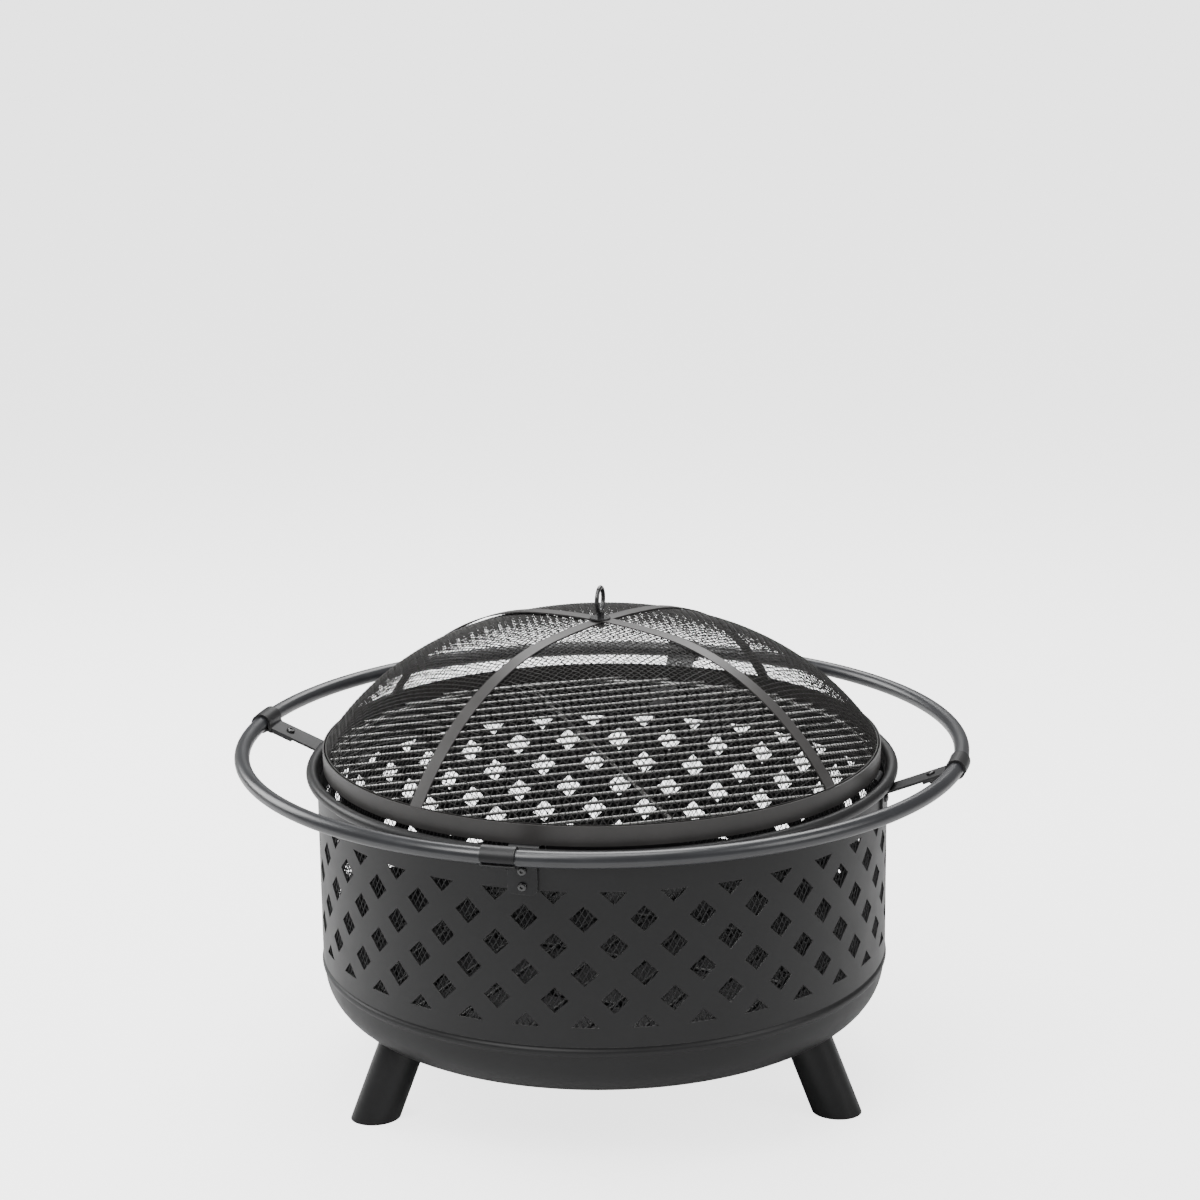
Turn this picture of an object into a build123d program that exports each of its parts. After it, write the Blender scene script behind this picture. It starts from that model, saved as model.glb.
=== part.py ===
"""Wood-burning fire pit: perforated steel bowl on three splayed legs, with a tube
ring handle, a charcoal grate, a cooking grate and a domed spark screen.

Millimetres, +Z up.  The origin is on the floor, on the axis of the bowl.  The four
ring brackets stand on the X and Y axes.
"""

import os
from math import acos, asin, atan2, cos, degrees, hypot, radians, sin, sqrt

from build123d import *

os.makedirs("parts", exist_ok=True)

# --- driving dimensions -----------------------------------------------------------

# bowl
bowl_diameter = 712.0  # outside of the wall
rim_height = 410.0  # top of the rolled rim above the floor
wall_bottom = 166.5
pan_bottom = 93.0
sheet = 1.5
rim_roll_radius = 7.5
pan_corner_radius = 58.0  # to the middle of the sheet
pan_lip = 12.0  # height of the pan's lip inside the wall
bead_radius = 5.1

# lattice of cut-outs
cutout_columns = 32
cutout_width = 33.0
cutout_height = 32.0
cutout_pitch = 33.3
lattice_below_rim = 52.5  # down to the flat upper edge of the first row
lattice_above_lip = 10.0  # least distance from the last row down to the pan's lip

# wire lining inside the wall
lining_thickness = 1.0
lining_below_rim = 18.0

# legs
leg_count = 3
first_leg_azimuth = 105.0
leg_diameter = 57.0
leg_wall = 2.0
leg_foot_inset = 28.0  # tube axis at the floor, in from the wall's outside
leg_slope = 0.45  # inward run per unit of height
leg_plate_thickness = 4.0
leg_bolt_diameter = 8.0

# ring handle
ring_clear_of_wall = 82.0  # room for a hand between the wall and the tube
ring_tube_diameter = 19.0
ring_tube_wall = 1.5
ring_above_rim = 18.0  # middle of the tube
ring_spigot_angle = 4.0  # degrees of reduced end inside the next tube

# brackets and clamps
bracket_count = 4
bracket_width = 36.0
bracket_sheet = 3.0
plate_below_rim = 58.0  # down to the lower edge of the wall plate
strap_below_rim = 19.8  # where the strap leaves the plate
strap_below_ring = 5.8  # where it ends, under the middle of the tube
jaw_width = 40.0
jaw_sheet = 2.5
jaw_opening = (-38.0, -12.0)  # open side of the clamp, degrees from outward
jaw_bend_radius = 3.5
tail_length = 32.0
clamp_screw_inset = 32.5  # from the middle of the tube
bend_radius = 4.0
plate_corner = 8.0

# inner support hooks
hook_sheet = 2.5
shelf_below_rim = 0.75  # down to the upper face of the shelf
shelf_reach = 28.5  # from the wall's inside to the end of the shelf
hook_step_run = 6.0
hook_tab_drop = 23.0
hook_reach = 46.5  # from the wall's inside to the tip
hook_plate_bend = 2.75  # radii to the middle of the sheet
hook_step_bend = 9.0

# screws and nuts
screw_diameter = 6.0
wall_screws_below_rim = (29.0, 48.0)
nut_bore_clearance = 0.05
hole_clearance = 0.3
bearing_gap = 0.05

# charcoal grate
charcoal_ring_diameter = 600.0
charcoal_wire = 5.5
charcoal_bar_pitch = 31.0
charcoal_bar_azimuth = 79.0
charcoal_overhang = 4.5
foot_rod_offset = 148.0
foot_spacing = 380.0
foot_depth = 48.0
foot_width = 68.0
foot_bend_radius = 8.0

# cooking grate
cooking_ring_clearance = 18.5  # inside the wall
cooking_ring_wire = 5.0
cooking_wire = 4.0
cooking_bar_pitch = 30.0
cooking_bar_azimuth = 32.0
cooking_overhang = 3.0

# spark screen
screen_clearance = 6.5  # inside the wall
screen_band_height = 24.0
screen_rise = 175.0  # lower edge of the band to the crown of the mesh
screen_crown_radius = 1000.0  # the dome is flatter on top than at its shoulder
screen_shoulder_radius = 340.0
screen_mesh_thickness = 1.6
mesh_above_edge = 3.0  # the mesh stops this far above the band's lower edge
screen_strip_width = 17.5
screen_strip_sheet = 1.5
screen_strip_azimuth = 66.0
strip_tail = 14.0  # straight end of a strip inside the band

# lifting eye
eye_diameter = 36.0
eye_wire = 5.5
eye_neck_diameter = 9.0
eye_neck = 7.0
eye_shank_diameter = 6.0
eye_washer_diameter = 26.0
eye_washer_thickness = 1.6

# shared fits
fit_gap = 0.1  # between sheets that are screwed or welded face to face
tube_gap = 0.3  # between the jaws and the ring
rest_gap = 0.3  # under parts that only rest
weld_sink = 0.4  # how far welded wires sink into each other

# --- derived sizes ----------------------------------------------------------------

wall_outer = bowl_diameter / 2
wall_inner = wall_outer - sheet
rim_roll_x = wall_inner + rim_roll_radius
rim_roll_z = rim_height - rim_roll_radius
lining_outer = wall_inner - 2 * fit_gap
lining_inner = lining_outer - lining_thickness
pan_middle = wall_inner - fit_gap - sheet / 2
pan_top = wall_bottom + pan_lip
pan_flat = pan_middle - pan_corner_radius
pan_floor = pan_bottom + sheet
top_row_height = rim_height - lattice_below_rim
cutout_rows = 1 + int((top_row_height - lattice_above_lip - pan_top) / cutout_pitch)
leg_foot_radius = wall_outer - leg_foot_inset
ring_tube_radius = ring_tube_diameter / 2
ring_radius = wall_outer + ring_clear_of_wall + ring_tube_radius
ring_height = rim_height + ring_above_rim
bracket_foot = rim_height - plate_below_rim
strap_rise_start = rim_height - strap_below_rim
strap_rise_end = ring_height - strap_below_ring
clamp_screw_radius = ring_radius - clamp_screw_inset
hook_shelf = rim_height - shelf_below_rim
hook_shelf_end = wall_inner - shelf_reach
hook_tip_radius = wall_inner - hook_reach
wall_screw_heights = [rim_height - drop for drop in wall_screws_below_rim]
cooking_ring_diameter = 2 * (wall_inner - cooking_ring_clearance)
screen_diameter = 2 * (wall_inner - screen_clearance)
charcoal_bar_count = int(charcoal_ring_diameter / charcoal_bar_pitch)
cooking_bar_count = int(cooking_ring_diameter / cooking_bar_pitch)
plate_middle = wall_outer + fit_gap + bracket_sheet / 2
hook_middle = lining_inner - fit_gap - hook_sheet / 2


def radial_plane(azimuth):
    """Upright plane through the bowl's axis: local x is outward, local y is up."""
    a = radians(azimuth)
    return Plane(origin=(0, 0, 0), x_dir=(cos(a), sin(a), 0), z_dir=(sin(a), -cos(a), 0))


def outward_plane(azimuth, radius, height):
    """Plane that faces outward at a radius and a height."""
    a = radians(azimuth)
    return Plane(
        origin=(radius * cos(a), radius * sin(a), height),
        x_dir=(-sin(a), cos(a), 0),
        z_dir=(cos(a), sin(a), 0),
    )


def plan_plane(azimuth, height=0.0):
    """Level plane whose local x points outward at the azimuth."""
    a = radians(azimuth)
    return Plane(origin=(0, 0, height), x_dir=(cos(a), sin(a), 0), z_dir=(0, 0, 1))


def save(part, label):
    part.label = label
    export_step(part, f"parts/{label}.step")


# --- bowl wall: a rolled sheet with a lattice of diamond cut-outs and a curled rim --

cutout_step = 360 / cutout_columns
wall_screw_hole = screw_diameter / 2 + hole_clearance


def row_azimuths(row):
    """Cut-outs of the odd rows line up with the brackets, the others lie between."""
    shift = 0 if row % 2 else cutout_step / 2
    return [shift + column * cutout_step for column in range(cutout_columns)]


def row_planes(row):
    height = top_row_height - row * cutout_pitch
    return [outward_plane(a, wall_inner - 2, height) for a in row_azimuths(row)]


bracket_azimuths = [i * 360 / bracket_count for i in range(bracket_count)]
wall_screw_planes = [
    outward_plane(a, wall_inner - 5, z) for a in bracket_azimuths for z in wall_screw_heights
]

with BuildPart() as bowl_wall:
    with BuildSketch(Plane.XZ):
        with BuildLine():
            roll = (rim_roll_x, rim_roll_z)
            Line((wall_outer, wall_bottom), (wall_inner, wall_bottom))
            Line((wall_inner, wall_bottom), (wall_inner, rim_roll_z))
            CenterArc(roll, rim_roll_radius, 180, -270)
            Line(
                (rim_roll_x, rim_roll_z - rim_roll_radius),
                (rim_roll_x, rim_roll_z - rim_roll_radius + sheet),
            )
            CenterArc(roll, rim_roll_radius - sheet, -90, 270)
            Line((wall_outer, rim_roll_z), (wall_outer, wall_bottom))
        make_face()
    revolve(axis=Axis.Z)
    for row in range(cutout_rows):
        half_width, half_height = cutout_width / 2, cutout_height / 2
        below = (0, -half_height) if row < cutout_rows - 1 else None
        above = (0, half_height) if row > 0 else None
        corners = [(-half_width, 0), below, (half_width, 0), above]
        with BuildSketch(*row_planes(row)):
            with BuildLine():
                Polyline(*[corner for corner in corners if corner], close=True)
            make_face()
        extrude(amount=sheet + 4, mode=Mode.SUBTRACT)
    with BuildSketch(*wall_screw_planes):
        Circle(wall_screw_hole)
    extrude(amount=sheet + 8, mode=Mode.SUBTRACT)
save(bowl_wall.part, "bowl_wall")

# --- wire lining: a fine mesh drum, kept as one thin drum with screw holes ----------

with BuildPart() as wall_lining:
    with BuildSketch(Plane.XY.offset(pan_top + 2 * fit_gap)):
        Circle(lining_outer)
        Circle(lining_inner, mode=Mode.SUBTRACT)
    extrude(amount=rim_height - lining_below_rim - pan_top - 2 * fit_gap)
    with BuildSketch(*wall_screw_planes):
        Circle(wall_screw_hole)
    extrude(amount=6, mode=Mode.SUBTRACT)
save(wall_lining.part, "wall_lining")

# --- bowl pan: a pressed dish whose lip stands inside the wall above a raised bead --

leg_azimuths = [first_leg_azimuth + i * 360 / leg_count for i in range(leg_count)]
leg_bolt_radius = leg_foot_radius - leg_slope * pan_bottom
leg_bolt_hole = leg_bolt_diameter / 2 + hole_clearance


def leg_bolt_plane(azimuth, height):
    a = radians(azimuth)
    return Plane.XY.offset(height).shift_origin(
        (leg_bolt_radius * cos(a), leg_bolt_radius * sin(a), height)
    )


with BuildPart() as bowl_pan:
    with BuildSketch(Plane.XZ):
        with BuildLine():
            bead_top = pan_bottom + sheet / 2 + pan_corner_radius + 4 * bead_radius * sin(radians(45))
            lip = Line((pan_middle, pan_top), (pan_middle, bead_top))
            bead_out = JernArc(lip @ 1, lip % 1, bead_radius, 45)
            bead_nose = JernArc(bead_out @ 1, bead_out % 1, bead_radius, -90)
            bead_in = JernArc(bead_nose @ 1, bead_nose % 1, bead_radius, 45)
            corner = JernArc(bead_in @ 1, bead_in % 1, pan_corner_radius, -90)
            Line(corner @ 1, (0, pan_bottom + sheet / 2))
        trace(line_width=sheet)
    revolve(axis=Axis.Z)
    with BuildSketch(*[leg_bolt_plane(a, pan_bottom - 5) for a in leg_azimuths]):
        Circle(leg_bolt_hole)
    extrude(amount=sheet + 10, mode=Mode.SUBTRACT)
save(bowl_pan.part, "bowl_pan")

# --- legs: splayed tubes, cut level at the floor and coped to the pan ---------------

leg_stock = 2 * pan_bottom + leg_diameter


def leg_axis_plane(azimuth):
    """Plane across the leg at the floor, facing up along the tube."""
    a = radians(azimuth)
    foot = (leg_foot_radius * cos(a), leg_foot_radius * sin(a), 0)
    return Plane(origin=foot, x_dir=(-sin(a), cos(a), 0), z_dir=(-leg_slope * cos(a), -leg_slope * sin(a), 1))


with BuildPart() as pan_envelope:
    with BuildSketch(Plane.XZ):
        outside = sheet / 2 + 2 * fit_gap
        bottom = pan_bottom - 2 * fit_gap
        with BuildLine():
            floor_line = Line((0, bottom), (pan_flat, bottom))
            turn = JernArc(floor_line @ 1, (1, 0), pan_corner_radius + outside, 90)
            Polyline(turn @ 1, (pan_middle + outside, rim_height), (0, rim_height), (0, bottom))
        make_face()
    revolve(axis=Axis.Z)

for number, azimuth in enumerate(leg_azimuths, start=1):
    with BuildPart() as leg:
        with BuildSketch(leg_axis_plane(azimuth)):
            Circle(leg_diameter / 2)
            Circle(leg_diameter / 2 - leg_wall, mode=Mode.SUBTRACT)
        extrude(amount=leg_stock, both=True)
        split(bisect_by=Plane.XY, keep=Keep.TOP)
        add(pan_envelope.part, mode=Mode.SUBTRACT)
        if len(leg.solids()) > 1:
            lowest = leg.solids().sort_by(Axis.Z)[0]
            add(lowest, mode=Mode.REPLACE)
    save(leg.part, f"leg_{number}")

    plate_top = pan_bottom - 2 * fit_gap
    with BuildPart() as leg_plate:
        with BuildSketch(leg_axis_plane(azimuth)):
            Circle(leg_diameter / 2 - leg_wall - fit_gap)
        extrude(amount=leg_stock)
        split(bisect_by=Plane.XY.offset(plate_top), keep=Keep.BOTTOM)
        split(bisect_by=Plane.XY.offset(plate_top - leg_plate_thickness), keep=Keep.TOP)
        with BuildSketch(leg_bolt_plane(azimuth, 0)):
            Circle(leg_bolt_hole)
        extrude(amount=rim_height, mode=Mode.SUBTRACT)
    save(leg_plate.part, f"leg_plate_{number}")


# --- screws and nuts ----------------------------------------------------------------


def button_screw(seat, diameter, length):
    """Button-head screw whose head sits on the plane and whose shank runs back."""
    head_radius, head_height = 0.92 * diameter, 0.55 * diameter
    with BuildPart() as screw:
        with BuildSketch(seat):
            Circle(head_radius)
        extrude(amount=head_height)
        crown = screw.faces().sort_by(lambda face: (face.center() - seat.origin).dot(seat.z_dir))[-1]
        fillet(crown.edges(), head_height * 0.7)
        with BuildSketch(seat.offset(head_height)):
            RegularPolygon(0.38 * diameter, 6)
        extrude(amount=-head_height * 0.6, mode=Mode.SUBTRACT)
        with BuildSketch(seat):
            Circle(diameter / 2)
        extrude(amount=-length)
    return screw.part


def hex_nut(seat, diameter):
    """Nut whose bearing face lies on the plane; it stands behind the plane."""
    with BuildPart() as nut:
        with BuildSketch(seat):
            RegularPolygon(0.83 * diameter, 6, major_radius=False)
            Circle(diameter / 2 + nut_bore_clearance, mode=Mode.SUBTRACT)
        extrude(amount=-0.8 * diameter)
    return nut.part


def save_group(parts, label):
    save(Compound(children=parts), label)


leg_screw_length = sheet + leg_plate_thickness + 0.8 * leg_bolt_diameter + 6
save_group(
    [button_screw(leg_bolt_plane(a, pan_floor + bearing_gap), leg_bolt_diameter, leg_screw_length)
     for a in leg_azimuths],
    "leg_screws",
)
leg_nut_height = plate_top - leg_plate_thickness - bearing_gap
save_group(
    [hex_nut(leg_bolt_plane(a, leg_nut_height), leg_bolt_diameter) for a in leg_azimuths],
    "leg_nuts",
)

screw_seat = wall_outer + fit_gap + bracket_sheet + bearing_gap
nut_seat = hook_middle - hook_sheet / 2 - 2 * bearing_gap
wall_screw_length = screw_seat - nut_seat + 0.8 * screw_diameter + 1.5
save_group(
    [button_screw(outward_plane(a, screw_seat, z), screw_diameter, wall_screw_length)
     for a in bracket_azimuths for z in wall_screw_heights],
    "wall_screws",
)
save_group(
    [hex_nut(outward_plane(a, nut_seat, z), screw_diameter)
     for a in bracket_azimuths for z in wall_screw_heights],
    "wall_nuts",
)

# --- ring handle: four tubes, each with a reduced end that plugs into the next ------

ring_arc = 360 / bracket_count
joint_gap = degrees(fit_gap / ring_radius)
shoulder_angle = 0.5


def ring_section(azimuth, outer, inner):
    with BuildSketch(radial_plane(azimuth)) as section:
        with Locations((ring_radius, ring_height)):
            Circle(outer)
            Circle(inner, mode=Mode.SUBTRACT)
    return section.sketch


spigot_outer = ring_tube_radius - ring_tube_wall - 2 * fit_gap
spigot_inner = spigot_outer - ring_tube_wall
for number, azimuth in enumerate(bracket_azimuths, start=1):
    with BuildPart() as ring_tube:
        tube_section = ring_section(azimuth, ring_tube_radius, ring_tube_radius - ring_tube_wall)
        revolve(tube_section, axis=Axis.Z, revolution_arc=ring_arc - joint_gap)
        shoulder = azimuth + ring_arc - joint_gap - shoulder_angle
        shoulder_section = ring_section(shoulder, ring_tube_radius, spigot_inner)
        revolve(shoulder_section, axis=Axis.Z, revolution_arc=shoulder_angle)
        spigot_section = ring_section(shoulder, spigot_outer, spigot_inner)
        revolve(spigot_section, axis=Axis.Z, revolution_arc=shoulder_angle + ring_spigot_angle)
    save(ring_tube.part, f"ring_tube_{number}")

# --- brackets: a wall plate, a strap that rises under the rim, and the upper jaw ----

strap_end_x = ring_radius - ring_tube_radius - tube_gap - bracket_sheet / 2
strap_run = strap_end_x - plate_middle
strap_rise = strap_rise_end - strap_rise_start
strap_slope = degrees(atan2(strap_rise, strap_run))
strap_along = (strap_run / hypot(strap_run, strap_rise), strap_rise / hypot(strap_run, strap_rise))
strap_across = (-strap_along[1], strap_along[0])
upper_jaw_radius = ring_tube_radius + tube_gap + bracket_sheet / 2
lower_jaw_radius = ring_tube_radius + tube_gap + jaw_sheet / 2
plan_sweep = 2 * degrees(asin(bracket_width / 2 / (hook_tip_radius - 1))) + 1

# the jaws: where the tube stands seen along and across the strap
tube_from_start = (ring_radius - plate_middle, ring_height - strap_rise_start)
tube_along = tube_from_start[0] * strap_along[0] + tube_from_start[1] * strap_along[1]
tube_across = tube_from_start[0] * strap_across[0] + tube_from_start[1] * strap_across[1]
tail_drop = bracket_sheet / 2 + fit_gap + jaw_sheet / 2
centres_apart = jaw_bend_radius + lower_jaw_radius
across_apart = jaw_bend_radius + tube_across + tail_drop
bend_along = tube_along - sqrt(centres_apart**2 - across_apart**2)
jaw_bend_angle = degrees(acos(across_apart / centres_apart))


def strap_point(along, across):
    """Point of the bracket's side view, measured along and above the strap."""
    return (
        plate_middle + along * strap_along[0] + across * strap_across[0],
        strap_rise_start + along * strap_along[1] + across * strap_across[1],
    )


def clamp_plane(azimuth, across):
    """Plane square to the strap at the clamp screw, facing up."""
    along = (clamp_screw_radius - plate_middle) / strap_along[0]
    x, z = strap_point(along, across)
    a, tilt = radians(azimuth), radians(strap_slope)
    up = (-sin(tilt) * cos(a), -sin(tilt) * sin(a), cos(tilt))
    return Plane(origin=(x * cos(a), x * sin(a), z), x_dir=(-sin(a), cos(a), 0), z_dir=up)


def trim_to_width(azimuth, inner_radius, width, wide_from=None, wide=None):
    """Cuts the revolved strip to straight parallel sides."""
    reach = 2 * (ring_radius + ring_tube_radius)
    with BuildSketch(plan_plane(azimuth)) as outline:
        with Locations(((inner_radius + reach) / 2, 0)):
            Rectangle(reach - inner_radius, width)
        if wide:
            with Locations(((wide_from + reach) / 2, 0)):
                Rectangle(reach - wide_from, wide)
    extrude(outline.sketch, amount=2 * ring_height, mode=Mode.INTERSECT)


def round_lower_corners(strip, radius):
    """Rounds the two lower corners of an upright plate."""
    lowest = strip.edges().group_by(Axis.Z)[0]
    fillet(lowest.filter_by(GeomType.LINE), radius)


for number, azimuth in enumerate(bracket_azimuths, start=1):
    start = azimuth - plan_sweep / 2
    with BuildPart() as bracket:
        with BuildSketch(radial_plane(start)):
            with BuildLine():
                FilletPolyline(
                    (plate_middle, bracket_foot),
                    (plate_middle, strap_rise_start),
                    (strap_end_x, strap_rise_end),
                    (strap_end_x, ring_height),
                    radius=bend_radius,
                )
                CenterArc((ring_radius, ring_height), upper_jaw_radius, 180, jaw_opening[1] - 180)
            trace(line_width=bracket_sheet)
        revolve(axis=Axis.Z, revolution_arc=plan_sweep)
        trim_to_width(azimuth, hook_tip_radius, bracket_width, strap_end_x - 3, jaw_width)
        round_lower_corners(bracket, plate_corner)
        with BuildSketch(*[outward_plane(azimuth, wall_outer - 2, z) for z in wall_screw_heights]):
            Circle(wall_screw_hole)
        extrude(amount=bracket_sheet + 4, mode=Mode.SUBTRACT)
        with BuildSketch(clamp_plane(azimuth, -bracket_sheet)):
            Circle(wall_screw_hole)
        extrude(amount=2 * bracket_sheet, mode=Mode.SUBTRACT)
    save(bracket.part, f"bracket_{number}")

    with BuildPart() as lower_jaw:
        with BuildSketch(radial_plane(start)):
            with BuildLine():
                tail = Line(
                    strap_point(bend_along - tail_length, -tail_drop), strap_point(bend_along, -tail_drop)
                )
                bend = JernArc(tail @ 1, tail % 1, jaw_bend_radius, -jaw_bend_angle)
                wrap_start = 270 - jaw_bend_angle + strap_slope
                JernArc(bend @ 1, bend % 1, lower_jaw_radius, 360 + jaw_opening[0] - wrap_start)
            trace(line_width=jaw_sheet)
        revolve(axis=Axis.Z, revolution_arc=plan_sweep)
        trim_to_width(azimuth, hook_tip_radius, bracket_width, strap_end_x - 3, jaw_width)
        with BuildSketch(clamp_plane(azimuth, -3 * bracket_sheet)):
            Circle(wall_screw_hole)
        extrude(amount=3 * bracket_sheet, mode=Mode.SUBTRACT)
    save(lower_jaw.part, f"lower_jaw_{number}")

clamp_stack = bracket_sheet + fit_gap + jaw_sheet
save_group(
    [button_screw(clamp_plane(a, bracket_sheet / 2 + bearing_gap), screw_diameter,
                  clamp_stack + 0.8 * screw_diameter + 2) for a in bracket_azimuths],
    "clamp_screws",
)
save_group(
    [hex_nut(clamp_plane(a, bracket_sheet / 2 - clamp_stack - bearing_gap), screw_diameter)
     for a in bracket_azimuths],
    "clamp_nuts",
)

# --- support hooks: stepped strips inside the wall that carry the grate and screen --

hook_top = hook_shelf - hook_sheet / 2
for number, azimuth in enumerate(bracket_azimuths, start=1):
    with BuildPart() as support_hook:
        with BuildSketch(radial_plane(azimuth - plan_sweep / 2)):
            with BuildLine():
                FilletPolyline(
                    (hook_middle, bracket_foot),
                    (hook_middle, hook_top),
                    (hook_shelf_end, hook_top),
                    (hook_shelf_end - hook_step_run, hook_top - hook_tab_drop),
                    (hook_tip_radius, hook_top - hook_tab_drop),
                    radius=[hook_plate_bend, hook_step_bend, hook_step_bend],
                )
            trace(line_width=hook_sheet)
        revolve(axis=Axis.Z, revolution_arc=plan_sweep)
        trim_to_width(azimuth, hook_tip_radius / 2, bracket_width)
        round_lower_corners(support_hook, plate_corner)
        with BuildSketch(*[outward_plane(azimuth, hook_middle - 4, z) for z in wall_screw_heights]):
            Circle(wall_screw_hole)
        extrude(amount=8, mode=Mode.SUBTRACT)
    save(support_hook.part, f"support_hook_{number}")


# --- wire grates --------------------------------------------------------------------


def wire_hoop(radius, height, wire):
    with BuildPart() as hoop:
        with BuildSketch(Plane.XZ):
            with Locations((radius, height)):
                Circle(wire / 2)
        revolve(axis=Axis.Z)
    return hoop.part


def grate_bars(azimuth, offsets, reach, height, wire):
    """Parallel bars across a hoop; each ends at the same radius."""
    a = radians(azimuth)
    with BuildPart() as bars:
        for offset in offsets:
            middle = (-offset * sin(a), offset * cos(a), height)
            with BuildSketch(Plane(origin=middle, x_dir=(0, 0, 1), z_dir=(cos(a), sin(a), 0))):
                Circle(wire / 2)
            extrude(amount=sqrt(reach**2 - offset**2), both=True)
    return bars.part


def even_offsets(count, pitch):
    return [(i - (count - 1) / 2) * pitch for i in range(count)]


# charcoal grate: bars on a hoop, with three rods below, two of them bent into feet
foot_mouth = atan2(foot_width / 2, foot_depth)
foot_rounding = foot_bend_radius * (1 / sin(foot_mouth) - 1)
charcoal_rod_height = pan_floor + rest_gap + charcoal_wire / 2 + foot_depth
charcoal_bar_height = charcoal_rod_height + charcoal_wire - weld_sink
charcoal_ring_radius = (charcoal_ring_diameter - charcoal_wire) / 2
charcoal_rod_azimuth = charcoal_bar_azimuth - 90

save(wire_hoop(charcoal_ring_radius, charcoal_rod_height, charcoal_wire), "charcoal_ring")
save(
    grate_bars(
        charcoal_bar_azimuth,
        even_offsets(charcoal_bar_count, charcoal_bar_pitch),
        charcoal_ring_diameter / 2 + charcoal_overhang,
        charcoal_bar_height,
        charcoal_wire,
    ),
    "charcoal_bars",
)
rod_reach = charcoal_ring_radius - charcoal_wire / 2 + weld_sink
save(
    grate_bars(charcoal_rod_azimuth, [0], rod_reach, charcoal_rod_height, charcoal_wire),
    "charcoal_middle_rod",
)

for side, name in ((-1, "charcoal_foot_rod_front"), (1, "charcoal_foot_rod_rear")):
    a = radians(charcoal_rod_azimuth)
    rod_middle = (-side * foot_rod_offset * sin(a), side * foot_rod_offset * cos(a), charcoal_rod_height)
    rod_plane = Plane(origin=rod_middle, x_dir=(cos(a), sin(a), 0), z_dir=(sin(a), -cos(a), 0))
    half_rod = sqrt(rod_reach**2 - foot_rod_offset**2)
    inner_x, outer_x = (foot_spacing - foot_width) / 2, (foot_spacing + foot_width) / 2
    apex_z = -foot_depth - foot_rounding
    with BuildPart() as foot_rod:
        with BuildLine(rod_plane) as rod_line:
            FilletPolyline(
                (-half_rod, 0),
                (-outer_x, 0),
                (-foot_spacing / 2, apex_z),
                (-inner_x, 0),
                (inner_x, 0),
                (foot_spacing / 2, apex_z),
                (outer_x, 0),
                (half_rod, 0),
                radius=foot_bend_radius,
            )
        with BuildSketch(Plane(origin=rod_line.line @ 0, z_dir=rod_line.line % 0)):
            Circle(charcoal_wire / 2)
        sweep()
    save(foot_rod.part, name)

# cooking grate: thinner bars on a hoop, with one cross rod below
cooking_ring_height = hook_shelf + rest_gap + cooking_ring_wire / 2
cooking_ring_radius = (cooking_ring_diameter - cooking_ring_wire) / 2
cooking_bar_height = cooking_ring_height + (cooking_ring_wire + cooking_wire) / 2 - weld_sink
cross_rod_height = cooking_bar_height - cooking_wire + weld_sink

save(wire_hoop(cooking_ring_radius, cooking_ring_height, cooking_ring_wire), "cooking_ring")
save(
    grate_bars(
        cooking_bar_azimuth,
        even_offsets(cooking_bar_count, cooking_bar_pitch),
        cooking_ring_diameter / 2 + cooking_overhang,
        cooking_bar_height,
        cooking_wire,
    ),
    "cooking_bars",
)
save(
    grate_bars(
        cooking_bar_azimuth + 90,
        [0],
        cooking_ring_radius - cooking_ring_wire / 2 + weld_sink,
        cross_rod_height,
        cooking_wire,
    ),
    "cooking_cross_rod",
)

# --- spark screen: hoop band, wire mesh dome, two crossed strips and a lifting eye --

band_bottom = hook_shelf + rest_gap
band_outer = screen_diameter / 2
band_inner = band_outer - screen_strip_sheet
strip_end_outer = band_inner - fit_gap
mesh_outer = strip_end_outer - screen_strip_sheet - fit_gap
dome_spring = band_bottom + screen_band_height
crown = band_bottom + screen_rise


# the shoulder arc passes through the dome's edge and is tangent to the crown arc
crown_centre = crown - screen_crown_radius
edge_reach = hypot(mesh_outer, dome_spring - crown_centre)
arc_shift = screen_crown_radius - screen_shoulder_radius
edge_cosine = (edge_reach**2 + arc_shift**2 - screen_shoulder_radius**2) / (2 * edge_reach * arc_shift)
crown_turn = degrees(atan2(mesh_outer, dome_spring - crown_centre) - acos(edge_cosine))
shoulder_centre = (
    arc_shift * sin(radians(crown_turn)),
    crown_centre + arc_shift * cos(radians(crown_turn)),
)


def shoulder_height(lift, radius):
    """Height of the dome's shoulder at a radius, on the surface lifted by an offset."""
    run = radius - shoulder_centre[0]
    return shoulder_centre[1] + sqrt((screen_shoulder_radius + lift) ** 2 - run**2)


def dome_arcs(lift, radius):
    """Crown and shoulder arcs of one surface of the dome, out to a radius."""
    shoulder_end = (radius, shoulder_height(lift, radius))
    end_angle = degrees(atan2(shoulder_end[1] - shoulder_centre[1], radius - shoulder_centre[0]))
    with BuildLine() as arcs:
        CenterArc((0, crown_centre), screen_crown_radius + lift, 90, -crown_turn)
        sweep_angle = end_angle - (90 - crown_turn)
        CenterArc(shoulder_centre, screen_shoulder_radius + lift, 90 - crown_turn, sweep_angle)
    return arcs.line, shoulder_end


def dome_section(lift, thickness, edge_radius, bottom):
    """Half section of a dome shell with an upright skirt at its edge."""
    outer_line, outer_end = dome_arcs(lift, edge_radius)
    inner_line, inner_end = dome_arcs(lift - thickness, edge_radius - thickness)
    with BuildSketch(Plane.XZ) as section:
        with BuildLine():
            add(outer_line)
            Polyline(outer_end, (edge_radius, bottom), (edge_radius - thickness, bottom), inner_end)
            add(inner_line)
            Line((0, crown + lift - thickness), (0, crown + lift))
        make_face()
    return section.sketch


eye_hole = eye_shank_diameter / 2 + hole_clearance

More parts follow.
